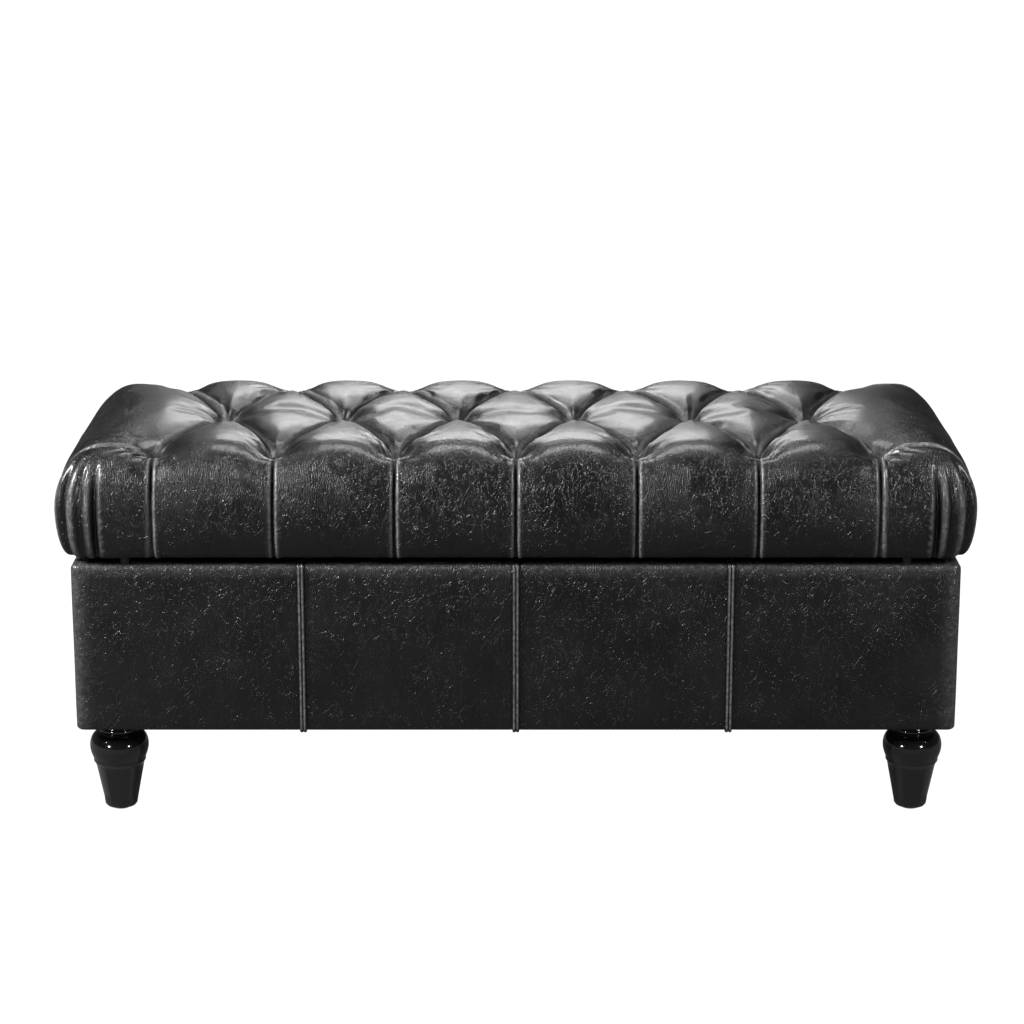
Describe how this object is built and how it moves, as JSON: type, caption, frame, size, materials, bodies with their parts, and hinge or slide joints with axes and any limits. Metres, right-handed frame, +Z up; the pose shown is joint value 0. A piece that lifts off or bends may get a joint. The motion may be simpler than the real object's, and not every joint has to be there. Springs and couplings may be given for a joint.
{
  "type": "storage ottoman",
  "caption": "Long tufted leather storage ottoman: a hinged, buttoned lid over a lined box on turned legs.",
  "frame": {"origin": "on the floor, under the middle of the ottoman", "axes": "+Z up; +X along the length, to the right when facing the front; the front faces -Y and the hinges are at +Y"},
  "size_m": [1.193, 0.474, 0.5036],
  "materials": {
    "leather": "satin",
    "plywood": "matte",
    "softwood": "matte",
    "lining_cloth": "matte",
    "dust_cloth": "matte",
    "foam": "matte",
    "wadding": "matte",
    "twine": "matte",
    "zinc_steel": "satin",
    "nylon": "matte",
    "rubber": "matte",
    "black_lacquer": "gloss"
  },
  "bodies": {
    "base": {"base_panel_front": "plywood", "base_panel_back": "plywood", "base_panel_left": "plywood", "base_panel_right": "plywood", "floor_panel": "plywood", "floor_cleat_front": "softwood", "floor_cleat_back": "softwood", "leg_block_front_left": "softwood", "leg_block_back_left": "softwood", "leg_block_front_right": "softwood", "leg_block_back_right": "softwood", "base_cover_front_1": "leather", "base_cover_front_2": "leather", "base_cover_front_3": "leather", "base_cover_front_4": "leather", "base_cover_left": "leather", "base_cover_right": "leather", "base_cover_back": "leather", "front_welt_left": "leather", "front_welt_centre": "leather", "front_welt_right": "leather", "lining_floor": "lining_cloth", "lining_front": "lining_cloth", "lining_back": "lining_cloth", "lining_left": "lining_cloth", "lining_right": "lining_cloth", "dust_cover": "dust_cloth", "leg_front_left": "black_lacquer", "leg_back_left": "black_lacquer", "leg_front_right": "black_lacquer", "leg_back_right": "black_lacquer", "leg_plates": "zinc_steel", "leg_bolts": "zinc_steel", "leg_glides": "nylon", "bumpers": "rubber", "base_screws": "zinc_steel", "hinge_left_base_leaf": "zinc_steel", "hinge_right_base_leaf": "zinc_steel", "hinge_left_pin": "zinc_steel", "hinge_right_pin": "zinc_steel", "stay_left_base_bracket": "zinc_steel", "stay_right_base_bracket": "zinc_steel"},
    "lid": {"lid_board": "plywood", "lid_foam": "foam", "lid_wadding": "wadding", "lid_cover": "leather", "lid_lining": "lining_cloth", "buttons_front": "leather", "buttons_middle": "leather", "buttons_back": "leather", "button_ties": "twine", "lid_screws": "zinc_steel", "hinge_left_lid_leaf": "zinc_steel", "hinge_right_lid_leaf": "zinc_steel", "stay_left_lid_bracket": "zinc_steel", "stay_right_lid_bracket": "zinc_steel"},
    "stay_left_arm": {"stay_left_arm": "zinc_steel"},
    "stay_left_link": {"stay_left_link": "zinc_steel"},
    "stay_right_arm": {"stay_right_arm": "zinc_steel"},
    "stay_right_link": {"stay_right_link": "zinc_steel"}
  },
  "joints": [
    {"name": "lid_hinge", "type": "hinge", "parent": "base", "child": "lid", "pos_m": [0, 0.225, 0.353], "axis": [-1, 0, 0], "range_deg": [0, 90]},
    {"name": "stay_left_base_pivot", "type": "hinge", "parent": "base", "child": "stay_left_arm", "pos_m": [-0.553, 0.185, 0.284], "axis": [-1, 0, 0], "range_deg": [0, 90]},
    {"name": "stay_left_knee", "type": "hinge", "parent": "stay_left_arm", "child": "stay_left_link", "pos_m": [-0.5506, 0.065, 0.274], "axis": [-1, 0, 0], "range_deg": [-90, 0]},
    {"name": "stay_right_base_pivot", "type": "hinge", "parent": "base", "child": "stay_right_arm", "pos_m": [0.553, 0.185, 0.284], "axis": [-1, 0, 0], "range_deg": [0, 90]},
    {"name": "stay_right_knee", "type": "hinge", "parent": "stay_right_arm", "child": "stay_right_link", "pos_m": [0.5506, 0.065, 0.274], "axis": [-1, 0, 0], "range_deg": [-90, 0]}
  ],
  "couplings": [
    {"joint": "stay_left_base_pivot", "follows": "lid_hinge", "ratio": 1},
    {"joint": "stay_left_knee", "follows": "lid_hinge", "ratio": -1},
    {"joint": "stay_right_base_pivot", "follows": "lid_hinge", "ratio": 1},
    {"joint": "stay_right_knee", "follows": "lid_hinge", "ratio": -1}
  ]
}
